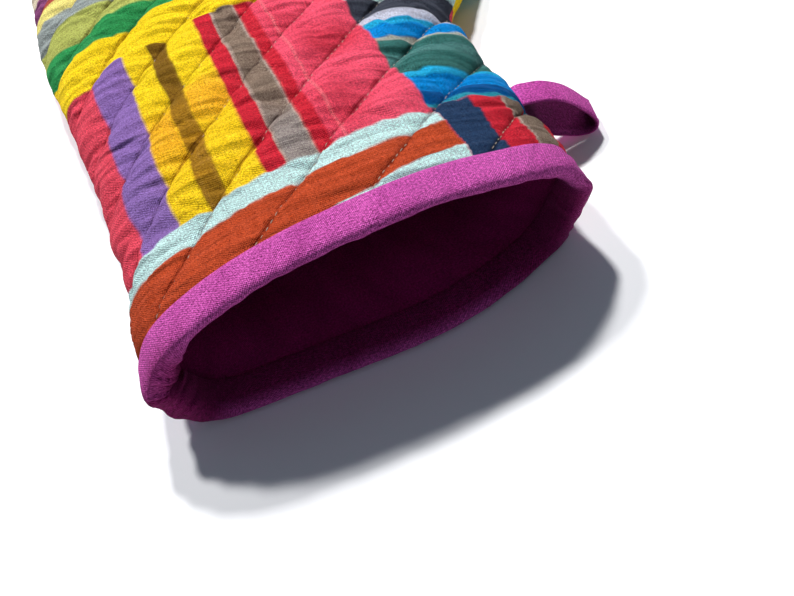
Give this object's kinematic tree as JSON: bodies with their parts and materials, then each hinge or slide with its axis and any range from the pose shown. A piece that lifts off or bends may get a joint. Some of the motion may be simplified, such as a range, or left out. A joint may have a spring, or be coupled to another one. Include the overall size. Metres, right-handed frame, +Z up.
{
  "type": "oven mitt",
  "caption": "Quilted padded mitt lying palm up: open bound cuff, flat finger pocket that curls, thumb that folds over the palm and a small hanging loop on the side seam.",
  "frame": {"origin": "on the table under the middle of the mitt's box", "axes": "+Y from the cuff mouth to the fingertips, +X towards the side the thumb is on, +Z up through the palm panel"},
  "size_m": [0.2054, 0.325, 0.0543],
  "materials": {
    "printed_cotton": "quilted plain-weave cotton printed with painted stripes in red, orange, yellow, pink, purple, green, blue and taupe",
    "batting": "soft cotton wadding",
    "insulation": "needled polyester with a reflecting film",
    "lining_cotton": "plain wine-magenta cotton, matt",
    "binding_cotton": "two-tone magenta plain-weave cotton, matt",
    "loop_cotton": "two-tone magenta plain-weave cotton, matt"
  },
  "bodies": {
    "hand": {"outer_palm_hand": "printed_cotton", "outer_back_hand": "printed_cotton", "batting_palm_hand": "batting", "batting_back_hand": "batting", "insulation_palm_hand": "insulation", "insulation_back_hand": "insulation", "lining_palm_hand": "lining_cotton", "lining_back_hand": "lining_cotton", "cuff_binding": "binding_cotton"},
    "fingers": {"outer_palm_fingers": "printed_cotton", "outer_back_fingers": "printed_cotton", "batting_palm_fingers": "batting", "batting_back_fingers": "batting", "insulation_palm_fingers": "insulation", "insulation_back_fingers": "insulation", "lining_palm_fingers": "lining_cotton", "lining_back_fingers": "lining_cotton"},
    "thumb": {"outer_palm_thumb": "printed_cotton", "outer_back_thumb": "printed_cotton", "batting_palm_thumb": "batting", "batting_back_thumb": "batting", "insulation_palm_thumb": "insulation", "insulation_back_thumb": "insulation", "lining_palm_thumb": "lining_cotton", "lining_back_thumb": "lining_cotton"},
    "loop": {"hanging_loop": "loop_cotton"}
  },
  "joints": [
    {"name": "finger_curl", "type": "hinge", "parent": "hand", "child": "fingers", "pos_m": [-0.03296, 0.0595, 0.028], "axis": [1, 0, 0], "range_deg": [0, 50], "stiffness_Nm_per_rad": 0.05},
    {"name": "thumb_close", "type": "hinge", "parent": "hand", "child": "thumb", "pos_m": [0.04954, -0.0045, 0.0245], "axis": [0.1494, -0.9888, 0], "range_deg": [0, 40], "stiffness_Nm_per_rad": 0.03},
    {"name": "loop_swing", "type": "hinge", "parent": "hand", "child": "loop", "pos_m": [0.05114, -0.104, 0.021], "axis": [0, -1, 0], "range_deg": [-30, 50]}
  ]
}
